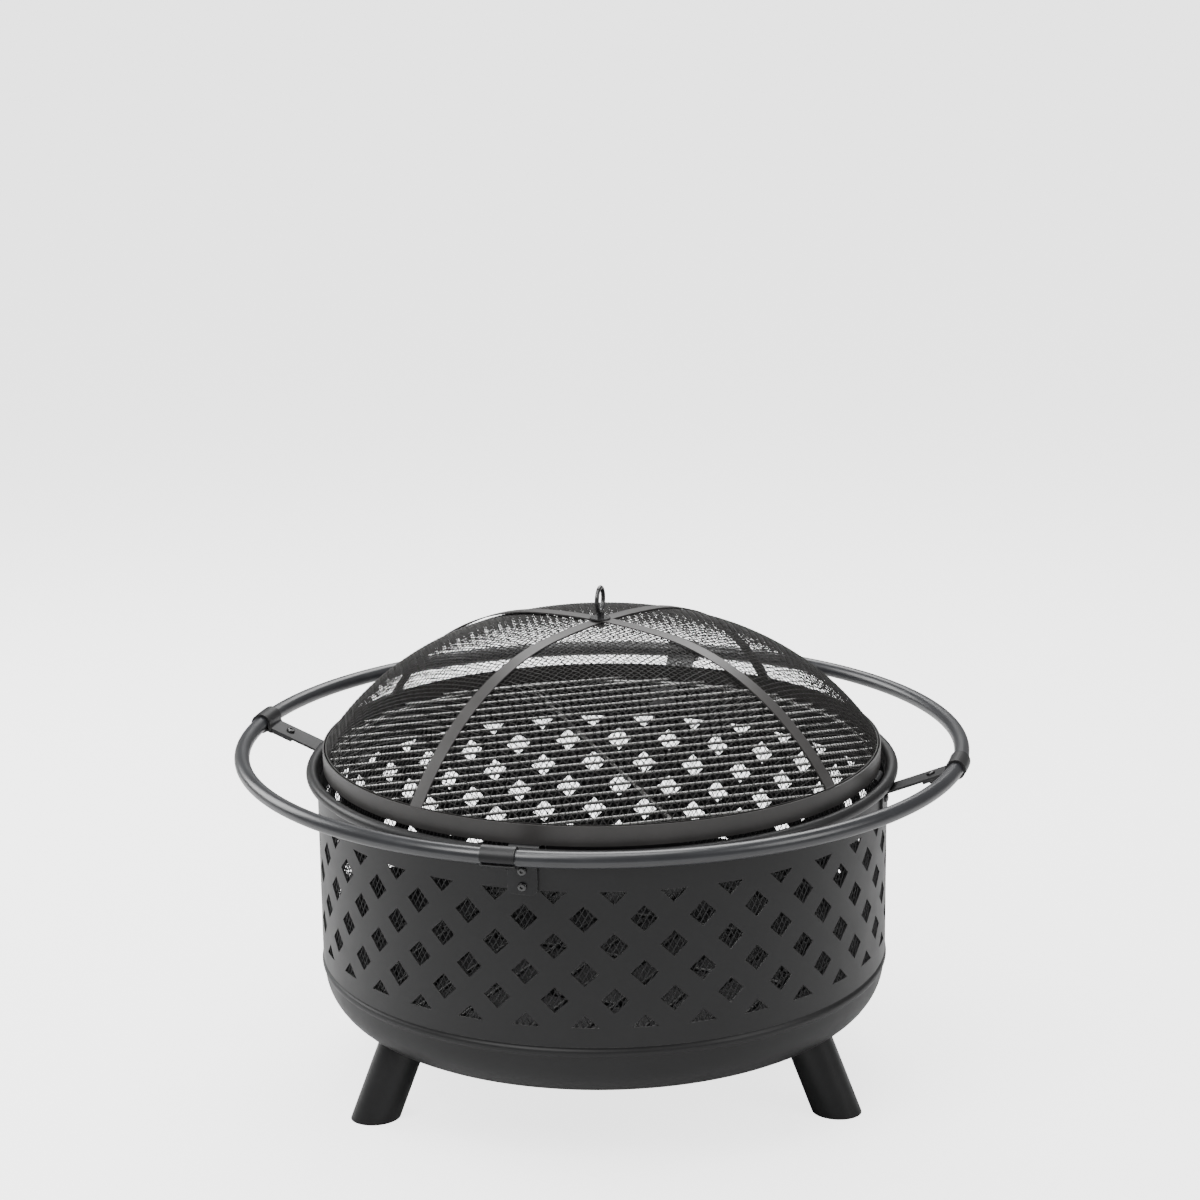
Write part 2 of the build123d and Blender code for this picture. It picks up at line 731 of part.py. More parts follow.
with BuildPart() as screen_band:
    with BuildSketch(Plane.XY.offset(band_bottom)):
        Circle(band_outer)
        Circle(band_inner, mode=Mode.SUBTRACT)
    extrude(amount=screen_band_height)
save(screen_band.part, "screen_band")

with BuildPart() as screen_mesh:
    revolve(dome_section(0, screen_mesh_thickness, mesh_outer, band_bottom + mesh_above_edge), axis=Axis.Z)
    with BuildSketch(Plane.XY.offset(dome_spring)):
        Circle(eye_hole)
    extrude(amount=2 * screen_rise, mode=Mode.SUBTRACT)
save(screen_mesh.part, "screen_mesh")

strip_layers = (
    ("screen_strip_lower", screen_strip_azimuth, 0),
    ("screen_strip_upper", screen_strip_azimuth + 90, 1),
)
strip_step = screen_strip_sheet + fit_gap
for name, azimuth, layer in strip_layers:
    with BuildPart() as screen_strip:
        strip_bottom = dome_spring - strip_tail
        section = dome_section(strip_step * (layer + 1), screen_strip_sheet, strip_end_outer, strip_bottom)
        revolve(section, axis=Axis.Z)
        with BuildSketch(plan_plane(azimuth, band_bottom)):
            Rectangle(screen_diameter, screen_strip_width)
        extrude(amount=2 * screen_rise, mode=Mode.INTERSECT)
        with BuildSketch(Plane.XY.offset(dome_spring)):
            Circle(eye_hole)
        extrude(amount=2 * screen_rise, mode=Mode.SUBTRACT)
    save(screen_strip.part, name)

washer_bottom = crown + 2 * strip_step + bearing_gap
with BuildPart() as eye_washer:
    with BuildSketch(Plane.XY.offset(washer_bottom)):
        Circle(eye_washer_diameter / 2)
        Circle(eye_hole, mode=Mode.SUBTRACT)
    extrude(amount=eye_washer_thickness)
save(eye_washer.part, "eye_washer")

neck_bottom = washer_bottom + eye_washer_thickness + bearing_gap
eye_radius = (eye_diameter - eye_wire) / 2
eye_centre = neck_bottom + eye_neck + eye_radius
under_crown = crown - screen_mesh_thickness - bearing_gap
with BuildPart() as lifting_eye:
    with BuildSketch(Plane.XZ):
        with Locations((0, eye_centre + eye_radius)):
            Circle(eye_wire / 2)
    revolve(axis=Axis((0, 0, eye_centre), (1, 0, 0)))
    with BuildSketch(Plane.XY.offset(neck_bottom)):
        Circle(eye_neck_diameter / 2)
    extrude(amount=eye_neck)
    with BuildSketch(Plane.XY.offset(neck_bottom)):
        Circle(eye_shank_diameter / 2)
    extrude(amount=under_crown - neck_bottom - 0.8 * eye_shank_diameter - 2)
save(lifting_eye.part, "lifting_eye")

save(hex_nut(Plane.XY.offset(under_crown), eye_shank_diameter), "eye_nut")
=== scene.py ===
"""Looks of a wood-burning fire pit: lattice-cut bowl, tube ring handle, two wire
grates and a domed spark screen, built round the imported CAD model.  Metres."""

from math import cos, pi, radians, sin

import bpy
from mathutils import Matrix, Vector


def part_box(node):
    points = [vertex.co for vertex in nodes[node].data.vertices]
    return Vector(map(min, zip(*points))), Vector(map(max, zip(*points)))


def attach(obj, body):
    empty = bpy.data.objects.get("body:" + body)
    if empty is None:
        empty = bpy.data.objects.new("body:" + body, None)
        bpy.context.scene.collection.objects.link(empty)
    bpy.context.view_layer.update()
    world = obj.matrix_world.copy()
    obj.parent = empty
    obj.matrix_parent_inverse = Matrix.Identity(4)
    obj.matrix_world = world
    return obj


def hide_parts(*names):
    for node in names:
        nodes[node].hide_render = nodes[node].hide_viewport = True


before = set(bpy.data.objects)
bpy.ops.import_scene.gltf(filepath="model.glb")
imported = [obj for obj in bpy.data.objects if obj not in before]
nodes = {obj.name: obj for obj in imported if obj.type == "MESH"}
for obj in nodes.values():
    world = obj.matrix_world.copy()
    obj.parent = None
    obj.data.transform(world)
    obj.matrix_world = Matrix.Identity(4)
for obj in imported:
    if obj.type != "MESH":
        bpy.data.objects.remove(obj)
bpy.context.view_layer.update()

# ---------------------------------------------------------------------------------
# Camera: a short telephoto a little above the ring handle, turned so that the front
# bracket stands left of the middle.  There is room above for the grates and screen
# when they are lifted out.

view_azimuth = 15.0  # degrees round the bowl
camera_run = 3.6  # level distance from the bowl's axis
camera_rise = 1.1006  # above the middle of the ring handle
camera_pitch = 14.295
camera_roll = -0.71
lens = 90.15

ring_low, ring_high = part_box("ring_tube_1")
ring_height = (ring_low.z + ring_high.z) / 2

camera_data = bpy.data.cameras.new("camera")
camera_data.lens = lens
camera = bpy.data.objects.new("camera", camera_data)
bpy.context.scene.collection.objects.link(camera)
turn = Matrix.Rotation(radians(view_azimuth), 4, "Z")
tilt = Matrix.Rotation(radians(90 - camera_pitch), 4, "X")
roll = Matrix.Rotation(radians(camera_roll), 4, "Z")
place = Matrix.Translation(turn @ Vector((0, -camera_run, ring_height + camera_rise)))
camera.matrix_world = place @ turn @ tilt @ roll
bpy.context.scene.camera = camera

# ---------------------------------------------------------------------------------
# Bowl wall: a rolled steel sheet, punched with a lattice of diamonds and curled over
# at the rim, in satin black heat-resistant powder coat with a fine orange peel.


# the Mix node repeats its socket names for each data type, so colours go by number
MIX_COLOUR_A, MIX_COLOUR_B, MIX_COLOUR_RESULT = 6, 7, 2


class Bench:
    """Adds nodes to one tree and wires them as they are added."""

    def __init__(self, tree):
        self.tree = tree

    def add(self, kind, inputs=None, **settings):
        node = self.tree.nodes.new(kind)
        for name, value in settings.items():
            setattr(node, name, value)
        for name, value in (inputs or {}).items():
            self.feed(node.inputs[name], value)
        return node

    def feed(self, socket, value):
        if isinstance(value, bpy.types.NodeSocket):
            self.tree.links.new(value, socket)
        else:
            socket.default_value = value

    def maths(self, operation, *values):
        """One Math node; its values are sockets or numbers."""
        kind = "ShaderNodeMath"
        return self.add(kind, dict(enumerate(values)), operation=operation).outputs[0]

    def between(self, factor, low, high):
        """A colour mixed from two others."""
        node = self.add("ShaderNodeMix", data_type="RGBA")
        self.feed(node.inputs["Factor"], factor)
        self.feed(node.inputs[MIX_COLOUR_A], low)
        self.feed(node.inputs[MIX_COLOUR_B], high)
        return node.outputs[MIX_COLOUR_RESULT]


def new_group(kind, name, inputs, outputs):
    """A node group with named sockets; returns its bench, group input and output."""
    tree = bpy.data.node_groups.new(name, kind)
    for label, socket, value in inputs:
        made = tree.interface.new_socket(name=label, in_out="INPUT", socket_type=socket)
        if value is not None:
            made.default_value = value
    for label, socket in outputs:
        tree.interface.new_socket(name=label, in_out="OUTPUT", socket_type=socket)
    bench = Bench(tree)
    given = bench.add("NodeGroupInput").outputs
    return bench, given, bench.add("NodeGroupOutput").inputs


FLOAT, COLOUR = "NodeSocketFloat", "NodeSocketColor"
OBJECT, MATERIAL, GEOMETRY, COUNT = (
    "NodeSocketObject", "NodeSocketMaterial", "NodeSocketGeometry", "NodeSocketInt"
)

peel_depth = 0.00004
roughness_swing = 0.18  # how far the mottling moves the roughness
dust_dulling = 0.35  # roughness added where dust lies
speck_scale = 900.0

# powder coat: orange peel, soft mottling and a trace of dust on what faces up
coat, given, gives = new_group(
    "ShaderNodeTree", "powder_coat_surface",
    [("Colour", COLOUR, (0.02, 0.02, 0.02, 1)), ("Dust Colour", COLOUR, (0.2, 0.19, 0.18, 1)),
     ("Roughness", FLOAT, 0.4), ("Peel Size", FLOAT, 0.0012), ("Mottle Size", FLOAT, 0.06),
     ("Dust", FLOAT, 0.1)],
    [("Colour", COLOUR), ("Roughness", FLOAT), ("Height", FLOAT)],
)
place_on = coat.add("ShaderNodeTexCoord").outputs["Object"]
peel = coat.add("ShaderNodeTexNoise", {
    "Vector": place_on, "Scale": coat.maths("DIVIDE", 1.0, given["Peel Size"]), "Detail": 1.0})
mottle = coat.add("ShaderNodeTexNoise", {
    "Vector": place_on, "Scale": coat.maths("DIVIDE", 1.0, given["Mottle Size"]), "Detail": 4.0,
    "Roughness": 0.6})
speck = coat.add("ShaderNodeTexNoise", {"Vector": place_on, "Scale": speck_scale, "Detail": 3.0})
upward = coat.add("ShaderNodeSeparateXYZ", {
    "Vector": coat.add("ShaderNodeNewGeometry").outputs["Normal"]}).outputs["Z"]
facing = coat.add("ShaderNodeMapRange", {"Value": upward, "From Min": 0.0, "From Max": 1.0,
                                         "To Min": 0.15, "To Max": 1.0})
settled = coat.maths("MULTIPLY", facing.outputs["Result"], given["Dust"])
flecks = coat.add("ShaderNodeMapRange", {"Value": speck.outputs["Fac"], "From Min": 0.35,
                                         "From Max": 0.75})
dusted = coat.maths("MULTIPLY", settled, flecks.outputs["Result"])
shade = coat.add("ShaderNodeMapRange", {"Value": mottle.outputs["Fac"], "From Min": 0.3,
                                        "From Max": 0.7, "To Min": 0.82, "To Max": 1.18})
toned = coat.add("ShaderNodeVectorMath", {0: given["Colour"]}, operation="SCALE")
coat.feed(toned.inputs["Scale"], shade.outputs["Result"])
coat.feed(gives["Colour"], coat.between(dusted, toned.outputs[0], given["Dust Colour"]))
off_middle = coat.maths("SUBTRACT", mottle.outputs["Fac"], 0.5)
uneven = coat.maths("MULTIPLY", off_middle, roughness_swing)
duller = coat.maths("MULTIPLY", dusted, dust_dulling)
mottled = coat.maths("ADD", given["Roughness"], uneven)
coat.feed(gives["Roughness"], coat.maths("ADD", mottled, duller))
coat.feed(gives["Height"], peel.outputs["Fac"])

# edge wear and painted edge highlight: where a rounded copy of the surface turns away from the
# sharp one
wear_and_highlight, given, gives = new_group(
    "ShaderNodeTree", "edge_wear_and_painted_highlight",
    [("Width", FLOAT, 0.0015), ("Amount", FLOAT, 0.5)], [("Mask", FLOAT)],
)
rounded = wear_and_highlight.add("ShaderNodeBevel", {"Radius": given["Width"]}, samples=4)
true_normal = wear_and_highlight.add("ShaderNodeNewGeometry").outputs["Normal"]
agree = wear_and_highlight.add("ShaderNodeVectorMath", {0: rounded.outputs["Normal"], 1: true_normal},
                 operation="DOT_PRODUCT")
turning = wear_and_highlight.add("ShaderNodeMapRange", {"Value": agree.outputs["Value"], "From Min": 0.995,
                                          "From Max": 0.82})
patchy = wear_and_highlight.add("ShaderNodeTexNoise", {
    "Vector": wear_and_highlight.add("ShaderNodeTexCoord").outputs["Object"], "Scale": 140.0, "Detail": 4.0})
wear_and_highlight_patches = wear_and_highlight.add("ShaderNodeMapRange", {"Value": patchy.outputs["Fac"], "From Min": 0.42,
                                       "From Max": 0.62})
worn_and_lit_edges = wear_and_highlight.maths("MULTIPLY", turning.outputs["Result"], wear_and_highlight_patches.outputs["Result"])
wear_and_highlight.feed(gives["Mask"], wear_and_highlight.maths("MULTIPLY", worn_and_lit_edges, given["Amount"]))

# colour of rubbed edges, which also serves as a painted highlight along sharp edges
rubbed_and_highlight_colour = (0.09, 0.088, 0.085, 1)


def painted(name, colour, roughness, edge=0.5, dust=0.03, gloss=0.35):
    """Powder-coated steel with slightly rubbed edges, which are also lightened as a painted
    highlight.
    """
    material = bpy.data.materials.new(name)
    material.use_nodes = True
    bench = Bench(material.node_tree)
    shader = material.node_tree.nodes["Principled BSDF"]
    shader.inputs["Specular IOR Level"].default_value = gloss
    surface = bench.add("ShaderNodeGroup", node_tree=coat.tree)
    surface.inputs["Colour"].default_value = (*colour, 1)
    surface.inputs["Roughness"].default_value = roughness
    surface.inputs["Dust"].default_value = dust
    rubbed_and_lit_edges = bench.add("ShaderNodeGroup", node_tree=wear_and_highlight.tree)
    rubbed_and_lit_edges.inputs["Amount"].default_value = edge
    # edges lightened: partly rubbed paint, partly a painted highlight
    tint = bench.between(rubbed_and_lit_edges.outputs["Mask"], surface.outputs["Colour"], rubbed_and_highlight_colour)
    bench.feed(shader.inputs["Base Color"], tint)
    bench.feed(shader.inputs["Roughness"], surface.outputs["Roughness"])
    relief = bench.add("ShaderNodeBump", {
        "Height": surface.outputs["Height"], "Distance": peel_depth})
    bench.feed(shader.inputs["Normal"], relief.outputs["Normal"])
    return material


def finish_node(name, material):
    """Gives a CAD node its finish."""
    node = nodes[name]
    node.data.materials.clear()
    node.data.materials.append(material)


bowl_black = painted("bowl_powder_coat", (0.011, 0.011, 0.0115), 0.42)
finish_node("bowl_wall", bowl_black)

# ---------------------------------------------------------------------------------
# Bowl pan: a pressed dish in the same coat, a little sootier, with a raised bead
# under the wall's lower edge.

finish_node("bowl_pan", painted("pan_powder_coat", (0.010, 0.010, 0.0105), 0.45, edge=0.3))

# ---------------------------------------------------------------------------------
# Legs: three splayed tubes, cut level at the floor and coped to the pan, with their
# mounting plates, screws and nuts.

leg_black = painted("leg_powder_coat", (0.011, 0.011, 0.0115), 0.38, edge=0.6)
fastener_black = painted("black_oxide", (0.014, 0.014, 0.015), 0.24,
                         edge=0.8, dust=0.02, gloss=0.9)
for number in (1, 2, 3):
    finish_node(f"leg_{number}", leg_black)
    finish_node(f"leg_plate_{number}", leg_black)
for name in ("leg_screws", "leg_nuts", "wall_screws", "wall_nuts",
             "clamp_screws", "clamp_nuts"):
    finish_node(name, fastener_black)

# ---------------------------------------------------------------------------------
# Ring handle and its brackets: bent tube in a smoother, slightly bluer coat, held by
# strips bent from the same sheet as the support hooks inside the rim.

ring_black = painted("ring_powder_coat", (0.017, 0.018, 0.021), 0.31, edge=0.2, gloss=0.75)
bracket_black = painted("bracket_powder_coat", (0.012, 0.012, 0.013), 0.40, edge=0.7)
for number in (1, 2, 3, 4):
    finish_node(f"ring_tube_{number}", ring_black)
    for part in ("bracket", "lower_jaw", "support_hook"):
        finish_node(f"{part}_{number}", bracket_black)

# ---------------------------------------------------------------------------------
# Wire lining: a drum of fine diamond mesh inside the wall, so that embers stay in.
# Two layers of steep slanting wires, one leaning each way, cross behind the cut-outs.

lining_cell_width = 0.0079
lining_cell_height = 0.0138
lining_wire = 0.0013
lining_points_per_turn = 200
layer_spacing = 0.9  # of a wire's thickness, so that crossing wires touch
wire_sides = 4


def bake(name, tree, values, body, replaced=()):
    """Runs a geometry tree and keeps its result as a plain mesh riding on a body."""
    source = bpy.data.objects.new(name + "_source", bpy.data.meshes.new(name + "_source"))
    bpy.context.scene.collection.objects.link(source)
    modifier = source.modifiers.new("build", "NODES")
    modifier.node_group = tree
    for item in tree.interface.items_tree:
        if item.item_type == "SOCKET" and item.in_out == "INPUT" and item.name in values:
            modifier[item.identifier] = values[item.name]
    evaluated = source.evaluated_get(bpy.context.evaluated_depsgraph_get())
    mesh = bpy.data.meshes.new_from_object(evaluated)
    mesh.name = name
    piece = bpy.data.objects.new(name, mesh)
    bpy.context.scene.collection.objects.link(piece)
    bpy.data.objects.remove(source)
    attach(piece, body)
    if replaced:
        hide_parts(*replaced)


drum, given, gives = new_group(
    "GeometryNodeTree", "slanted_wires_on_a_drum",
    [("Radius", FLOAT, 0.35), ("Height", FLOAT, 0.2), ("Bottom", FLOAT, 0.18),
     ("Wires", COUNT, 300), ("Points Per Turn", COUNT, 140), ("Turns", FLOAT, 0.1),
     ("Wire", FLOAT, 0.001), ("Lean Left", "NodeSocketBool", False),
     ("Material", MATERIAL, None)],
    [("Geometry", GEOMETRY)],
)
slant = drum.add("GeometryNodeCurveSpiral", {
    "Resolution": given["Points Per Turn"], "Rotations": given["Turns"],
    "Start Radius": given["Radius"], "End Radius": given["Radius"],
    "Height": given["Height"], "Reverse": given["Lean Left"]})
wire_round = drum.add("GeometryNodeCurvePrimitiveCircle", {
    "Resolution": wire_sides, "Radius": drum.maths("DIVIDE", given["Wire"], 2.0)})
one_wire = drum.add("GeometryNodeCurveToMesh", {
    "Curve": slant.outputs["Curve"], "Profile Curve": wire_round.outputs["Curve"],
    "Fill Caps": True})
lifted = drum.add("ShaderNodeCombineXYZ", {"Z": given["Bottom"]})
stations = drum.add("GeometryNodePoints", {
    "Count": given["Wires"], "Position": lifted.outputs[0]})
step_turn = drum.maths("DIVIDE", 2 * pi, given["Wires"])
this_turn = drum.maths("MULTIPLY", drum.add("GeometryNodeInputIndex").outputs[0], step_turn)
turned = drum.add("ShaderNodeCombineXYZ", {"Z": this_turn})
spread = drum.add("GeometryNodeInstanceOnPoints", {
    "Points": stations.outputs[0], "Instance": one_wire.outputs["Mesh"],
    "Rotation": turned.outputs["Vector"]})
solid = drum.add("GeometryNodeRealizeInstances", {"Geometry": spread.outputs["Instances"]})
dressed = drum.add("GeometryNodeSetMaterial", {
    "Geometry": solid.outputs["Geometry"], "Material": given["Material"]})
drum.feed(gives["Geometry"], dressed.outputs["Geometry"])

lining_black = painted("lining_wire_paint", (0.030, 0.030, 0.031), 0.5, edge=0.0, dust=0.05)
lining_low, lining_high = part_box("wall_lining")
lining_height = lining_high.z - lining_low.z
lining_wires = round(2 * pi * lining_high.x / lining_cell_width)
lining_cells_high = lining_height / lining_cell_height
for name, lean_left, depth in (("lining_wires_left", True, 0.5),
                               ("lining_wires_right", False, 1.5)):
    layer_radius = lining_high.x - depth * lining_wire * layer_spacing
    bake(name, drum.tree, {
        "Radius": layer_radius, "Height": lining_height, "Bottom": lining_low.z,
        "Wires": lining_wires, "Points Per Turn": lining_points_per_turn,
        "Turns": lining_cells_high / lining_wires, "Wire": lining_wire,
        "Lean Left": lean_left, "Material": lining_black,
    }, "pit", ["wall_lining"] if lean_left else ())

# ---------------------------------------------------------------------------------
# Charcoal grate: thick wire bars welded on a hoop, over three rods, two of which are
# bent down into V feet.  Black enamel, slightly glossier than the bowl.

charcoal_black = painted("charcoal_wire_enamel", (0.007, 0.007, 0.007), 0.32, edge=0.0, dust=0.06)
for name in ("charcoal_ring", "charcoal_bars", "charcoal_middle_rod",
             "charcoal_foot_rod_front", "charcoal_foot_rod_rear"):
    finish_node(name, charcoal_black)

# ---------------------------------------------------------------------------------
# Cooking grate: thinner plated wire on a hoop, with one cross rod under the bars.


def plated(name):
    """Bright plated wire, faintly stained by heat."""
    material = bpy.data.materials.new(name)
    material.use_nodes = True
    bench = Bench(material.node_tree)
    shader = material.node_tree.nodes["Principled BSDF"]
    shader.inputs["Metallic"].default_value = 1.0
    place_on = bench.add("ShaderNodeTexCoord").outputs["Object"]
    stain = bench.add("ShaderNodeTexNoise", {"Vector": place_on, "Scale": 22.0, "Detail": 5.0})
    tint = bench.between(stain.outputs["Fac"], (0.24, 0.24, 0.235, 1), (0.50, 0.495, 0.485, 1))
    bench.feed(shader.inputs["Base Color"], tint)
    smear = bench.add("ShaderNodeMapRange", {"Value": stain.outputs["Fac"], "To Min": 0.18,
                                             "To Max": 0.36})
    bench.feed(shader.inputs["Roughness"], smear.outputs["Result"])
    return material


cooking_plate = plated("cooking_wire_plating")
for name in ("cooking_ring", "cooking_bars", "cooking_cross_rod"):
    finish_node(name, cooking_plate)

# ---------------------------------------------------------------------------------
# Spark screen: a hoop band and two crossed strips welded over a dome of woven wire.
# The weave follows the dome, each wire passing over and under those it crosses.

screen_black = painted("screen_paint", (0.042, 0.040, 0.039), 0.42, edge=0.3, gloss=0.5)
for name in ("screen_band", "screen_strip_lower", "screen_strip_upper"):
    finish_node(name, screen_black)
for name in ("lifting_eye", "eye_washer", "eye_nut"):
    finish_node(name, fastener_black)

weave_pitch = 0.0063
weave_count = 111  # odd, so that one wire crosses the middle
screen_wire = 0.0011
strip_azimuth = radians(66.0)
weave_edge_gap = 0.0003  # keeps the wires' ends inside the hem
above_dome = 1.0  # the flat weave is laid out this high and dropped on the dome
drop_reach = 2.0
dome_low, dome_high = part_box("screen_mesh")
band_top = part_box("screen_band")[1].z

weave, given, gives = new_group(
    "GeometryNodeTree", "woven_wires_on_a_dome",
    [("Dome", OBJECT, None), ("Edge", FLOAT, 0.34), ("Above", FLOAT, 1.0),
     ("Depth", FLOAT, 0.001), ("Pitch", FLOAT, 0.006), ("Count", COUNT, 111),
     ("Wire", FLOAT, 0.001), ("Turn", FLOAT, 0.0), ("Side", FLOAT, 1.0),
     ("Material", MATERIAL, None)],
    [("Geometry", GEOMETRY)],
)
span = weave.maths("MULTIPLY", weave.maths("SUBTRACT", given["Count"], 1.0), given["Pitch"])
sheet = weave.add("GeometryNodeMeshGrid", {
    "Size X": span, "Size Y": span, "Vertices X": given["Count"], "Vertices Y": given["Count"]})
spot = weave.add("GeometryNodeInputPosition").outputs[0]
flat = weave.add("ShaderNodeSeparateXYZ", {"Vector": spot})
across_wire = weave.maths("ABSOLUTE", flat.outputs["Y"])
last_wire = weave.maths("SUBTRACT", given["Edge"], given["Wire"])
past_edge = weave.maths("GREATER_THAN", across_wire, last_wire)
edge_squared = weave.maths("POWER", given["Edge"], 2.0)
chord_squared = weave.maths("SUBTRACT", edge_squared, weave.maths("POWER", across_wire, 2.0))
chord = weave.maths("SQRT", weave.maths("MAXIMUM", 0.0, chord_squared))
along_wire = weave.maths("ABSOLUTE", flat.outputs["X"])
past_end = weave.maths("GREATER_THAN", along_wire, weave.maths("ADD", chord, given["Pitch"]))
outside = weave.maths("MAXIMUM", past_edge, past_end)
ends = weave.add("GeometryNodeInputMeshEdgeVertices")
step = weave.add("ShaderNodeVectorMath", {
    0: ends.outputs["Position 1"], 1: ends.outputs["Position 2"]}, operation="SUBTRACT")
step_x = weave.add("ShaderNodeSeparateXYZ", {"Vector": step.outputs[0]}).outputs["X"]
half_pitch = weave.maths("MULTIPLY", given["Pitch"], 0.5)
crossing = weave.maths("LESS_THAN", weave.maths("ABSOLUTE", step_x), half_pitch)
one_way = weave.add("GeometryNodeDeleteGeometry", {
    "Geometry": sheet.outputs["Mesh"], "Selection": crossing}, domain="EDGE", mode="EDGE_FACE")
column = weave.maths("ROUND", weave.maths("DIVIDE", flat.outputs["X"], given["Pitch"]))
row = weave.maths("ROUND", weave.maths("DIVIDE", flat.outputs["Y"], given["Pitch"]))
parity = weave.maths("FLOORED_MODULO", weave.maths("ADD", column, row), 2.0)
over = weave.maths("SUBTRACT", weave.maths("MULTIPLY", parity, 2.0), 1.0)
wave = weave.maths("MULTIPLY", weave.maths("MULTIPLY", over, given["Side"]),
                 weave.maths("MULTIPLY", given["Wire"], 0.5))
cut_short = weave.maths("MULTIPLY", weave.maths("SIGN", flat.outputs["X"]),
                      weave.maths("MINIMUM", along_wire, chord))
cut = weave.add("ShaderNodeCombineXYZ", {
    "X": cut_short, "Y": flat.outputs["Y"], "Z": given["Above"]})
turned = weave.add("ShaderNodeVectorRotate", {"Vector": cut.outputs[0], "Angle": given["Turn"]},
                   rotation_type="Z_AXIS")
dome = weave.add("GeometryNodeObjectInfo", {"Object": given["Dome"]})
drop = weave.add("GeometryNodeRaycast", {
    "Target Geometry": dome.outputs["Geometry"], "Source Position": turned.outputs[0],
    "Ray Direction": (0, 0, -1), "Ray Length": drop_reach})
missed = weave.maths("SUBTRACT", 1.0, drop.outputs["Is Hit"])
trimmed = weave.add("GeometryNodeDeleteGeometry", {
    "Geometry": one_way.outputs["Geometry"],
    "Selection": weave.maths("MAXIMUM", outside, missed)}, domain="POINT")
lifted = weave.add("ShaderNodeVectorMath", {0: drop.outputs["Hit Normal"]}, operation="SCALE")
weave.feed(lifted.inputs["Scale"], weave.maths("SUBTRACT", wave, given["Depth"]))
landed = weave.add("ShaderNodeVectorMath", {
    0: drop.outputs["Hit Position"], 1: lifted.outputs[0]}, operation="ADD")
draped = weave.add("GeometryNodeSetPosition", {
    "Geometry": trimmed.outputs["Geometry"], "Position": landed.outputs[0]})
strands = weave.add("GeometryNodeMeshToCurve", {"Mesh": draped.outputs["Geometry"]})
section = weave.add("GeometryNodeCurvePrimitiveCircle", {
    "Resolution": wire_sides, "Radius": weave.maths("DIVIDE", given["Wire"], 2.0)})
drawn = weave.add("GeometryNodeCurveToMesh", {
    "Curve": strands.outputs["Curve"], "Profile Curve": section.outputs["Curve"],
    "Fill Caps": True})
solid = weave.add("GeometryNodeRealizeInstances", {"Geometry": drawn.outputs["Mesh"]})
dressed = weave.add("GeometryNodeSetMaterial", {
    "Geometry": solid.outputs["Geometry"], "Material": given["Material"]})
weave.feed(gives["Geometry"], dressed.outputs["Geometry"])

mesh_black = painted("screen_wire_paint", (0.020, 0.019, 0.018), 0.42, edge=0.0)
for name, turn_by, side in (("screen_warp", 0.0, 1.0), ("screen_weft", pi / 2, -1.0)):
    bake(name, weave.tree, {
        "Dome": nodes["screen_mesh"], "Edge": dome_high.x - weave_edge_gap, "Above": above_dome,
        "Depth": screen_wire, "Pitch": weave_pitch, "Count": weave_count, "Wire": screen_wire,
        "Turn": strip_azimuth + turn_by, "Side": side, "Material": mesh_black,
    }, "spark_screen", ["screen_mesh"] if side > 0 else ())

# the mesh's folded hem inside the band
hem_thickness = 0.0016
hem_steps = 180
hem_above_band = 0.0006


def ring_of(name, outline, steps):
    """A closed ring of the given outline of radii and heights."""
    verts = [(r * cos(2 * pi * i / steps), r * sin(2 * pi * i / steps), z)
             for i in range(steps) for r, z in outline]
    count = len(outline)
    faces = []
    for i in range(steps):
        here, there = i * count, (i + 1) % steps * count
        for j in range(count):
            k = (j + 1) % count
            faces.append((here + j, there + j, there + k, here + k))
    mesh = bpy.data.meshes.new(name)
    mesh.from_pydata(verts, [], faces)
    piece = bpy.data.objects.new(name, mesh)
    bpy.context.scene.collection.objects.link(piece)
    return piece


hem_in, hem_out = dome_high.x - hem_thickness, dome_high.x
hem_top = band_top + hem_above_band
hem_outline = [(hem_in, dome_low.z), (hem_out, dome_low.z), (hem_out, hem_top), (hem_in, hem_top)]
hem = ring_of("screen_hem", hem_outline, hem_steps)
hem.data.materials.append(mesh_black)
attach(hem, "spark_screen")

# ---------------------------------------------------------------------------------
# Studio: a pale floor that meets an even, bright surround, and five soft lights: from
# the front left, from the left behind, from the right, from the back and from above.

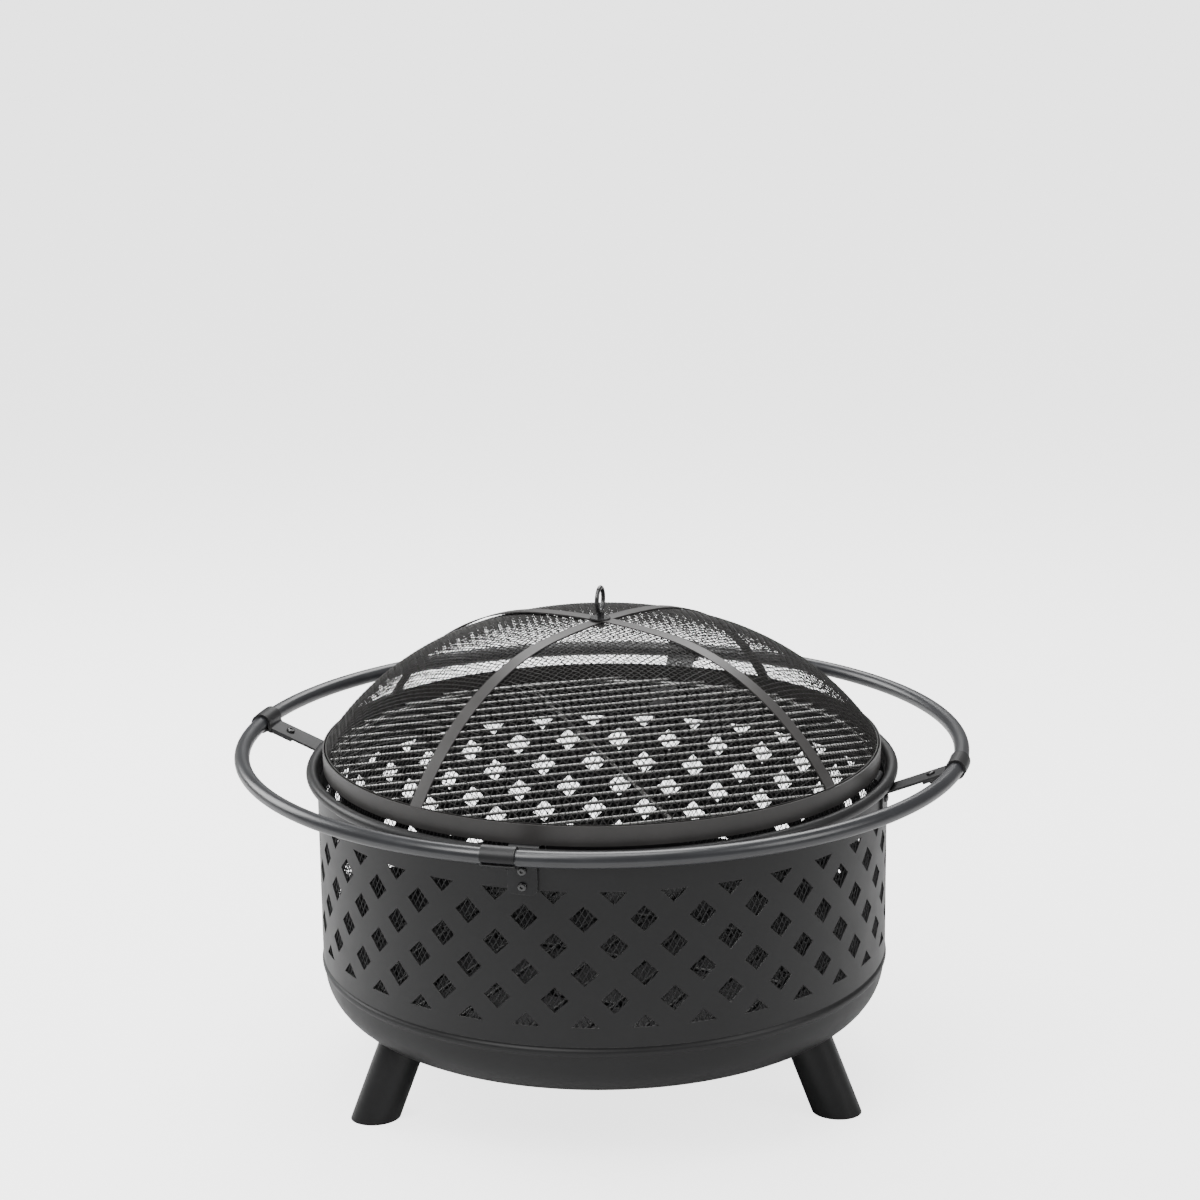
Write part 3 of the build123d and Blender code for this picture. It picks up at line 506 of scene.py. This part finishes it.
floor_size = 60.0
floor_glow = 2.6  # lifts the paper towards white, seen by the camera alone
surround_seen = 5.2  # strength seen by the camera
surround_light = 0.32  # strength that lights the object
aim_height = 0.35
light_distance = 3.0
floor_mesh = bpy.data.meshes.new("floor")
half = floor_size / 2
floor_corners = [(-half, -half, 0), (half, -half, 0), (half, half, 0), (-half, half, 0)]
floor_mesh.from_pydata(floor_corners, [], [(0, 1, 2, 3)])
floor = bpy.data.objects.new("floor", floor_mesh)
bpy.context.scene.collection.objects.link(floor)
paper = bpy.data.materials.new("floor_paper")
paper.use_nodes = True
paper_bench = Bench(paper.node_tree)
paper_shader = paper.node_tree.nodes["Principled BSDF"]
paper_shader.inputs["Base Color"].default_value = (0.85, 0.85, 0.85, 1)
paper_shader.inputs["Roughness"].default_value = 0.9
paper_shader.inputs["Specular IOR Level"].default_value = 0.1
paper_shader.inputs["Emission Color"].default_value = (1, 1, 1, 1)
seen = paper_bench.add("ShaderNodeLightPath").outputs["Is Camera Ray"]
paper_bench.feed(paper_shader.inputs["Emission Strength"],
                 paper_bench.maths("MULTIPLY", seen, floor_glow))
floor.data.materials.append(paper)


def softbox(name, azimuth, elevation, size, watts):
    """A square area light aimed at the middle of the object."""
    data = bpy.data.lights.new(name, "AREA")
    data.energy = watts
    data.size = size
    light = bpy.data.objects.new(name, data)
    bpy.context.scene.collection.objects.link(light)
    a, e = radians(azimuth), radians(elevation)
    away = Vector((cos(e) * sin(a), -cos(e) * cos(a), sin(e)))
    light.location = Vector((0, 0, aim_height)) + away * light_distance
    light.rotation_euler = away.to_track_quat("Z", "Y").to_euler()


softbox("front_left_light", view_azimuth - 38, 48, 1.5, 60)
softbox("left_rim_light", view_azimuth - 118, 24, 1.6, 60)
softbox("right_light", view_azimuth + 62, 30, 1.4, 26)
softbox("back_light", view_azimuth + 172, 50, 1.8, 70)
softbox("overhead_light", view_azimuth, 82, 1.4, 40)

world = bpy.data.worlds.new("surround")
world.use_nodes = True
world_bench = Bench(world.node_tree)
background = world.node_tree.nodes["Background"]
background.inputs["Color"].default_value = (1, 1, 1, 1)
looked_at = world_bench.add("ShaderNodeLightPath").outputs["Is Camera Ray"]
brightness = world_bench.add("ShaderNodeMapRange", {
    "Value": looked_at, "To Min": surround_light, "To Max": surround_seen})
world_bench.feed(background.inputs["Strength"], brightness.outputs["Result"])
bpy.context.scene.world = world
